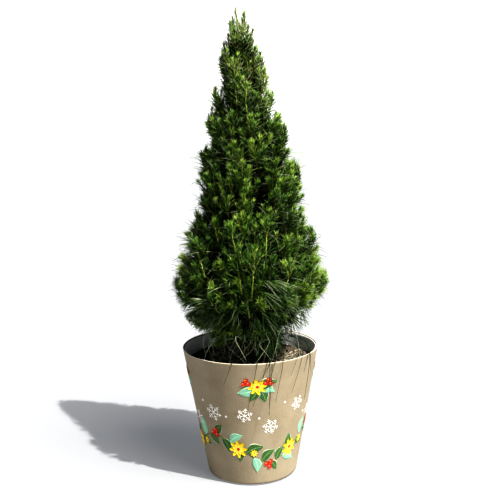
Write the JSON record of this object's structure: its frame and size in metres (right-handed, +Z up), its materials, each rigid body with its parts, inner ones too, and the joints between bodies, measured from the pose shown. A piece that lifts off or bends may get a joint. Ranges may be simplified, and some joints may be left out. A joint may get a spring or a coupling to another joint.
{
  "type": "potted monterey pine",
  "caption": "Young sheared Monterey pine: a dense narrow cone of needle sprays on one leaning trunk, in a round tapered nursery pot with a kraft card sleeve.",
  "frame": {"origin": "middle of the pot's flat underside", "axes": "+Z up along the pot's axis and the trunk; the leader's tip leans towards -X; the front, as seen, faces -Y"},
  "size_m": [0.3008, 0.2952, 0.8469],
  "materials": {
    "kraft_card": "matte",
    "black_plastic": "matte",
    "potting_mix": "matte",
    "pine_bark": "matte",
    "pine_needles": "satin"
  },
  "bodies": {
    "root": {"bough_1_1": "pine_bark", "bough_1_2": "pine_bark", "bough_1_3": "pine_bark", "bough_1_4": "pine_bark", "bough_1_5": "pine_bark", "bough_2_1": "pine_bark", "bough_2_2": "pine_bark", "bough_2_3": "pine_bark", "bough_2_4": "pine_bark", "bough_2_5": "pine_bark", "bough_3_1": "pine_bark", "bough_3_2": "pine_bark", "bough_3_3": "pine_bark", "bough_3_4": "pine_bark", "bough_4_1": "pine_bark", "bough_4_2": "pine_bark", "bough_4_3": "pine_bark", "bough_4_4": "pine_bark", "foliage_1_1": "pine_needles", "foliage_1_2": "pine_needles", "foliage_1_3": "pine_needles", "foliage_1_4": "pine_needles", "foliage_1_5": "pine_needles", "foliage_2_1": "pine_needles", "foliage_2_2": "pine_needles", "foliage_2_3": "pine_needles", "foliage_2_4": "pine_needles", "foliage_2_5": "pine_needles", "foliage_3_1": "pine_needles", "foliage_3_2": "pine_needles", "foliage_3_3": "pine_needles", "foliage_3_4": "pine_needles", "foliage_4_1": "pine_needles", "foliage_4_2": "pine_needles", "foliage_4_3": "pine_needles", "foliage_4_4": "pine_needles", "foliage_5_1": "pine_needles", "foliage_5_2": "pine_needles", "foliage_5_3": "pine_needles", "foliage_6_1": "pine_needles", "foliage_6_2": "pine_needles", "foliage_6_3": "pine_needles", "foliage_leader": "pine_needles", "kraft_sleeve": "kraft_card", "nursery_pot": "black_plastic", "potting_mix": "potting_mix", "trunk": "pine_bark"}
  },
  "joints": []
}
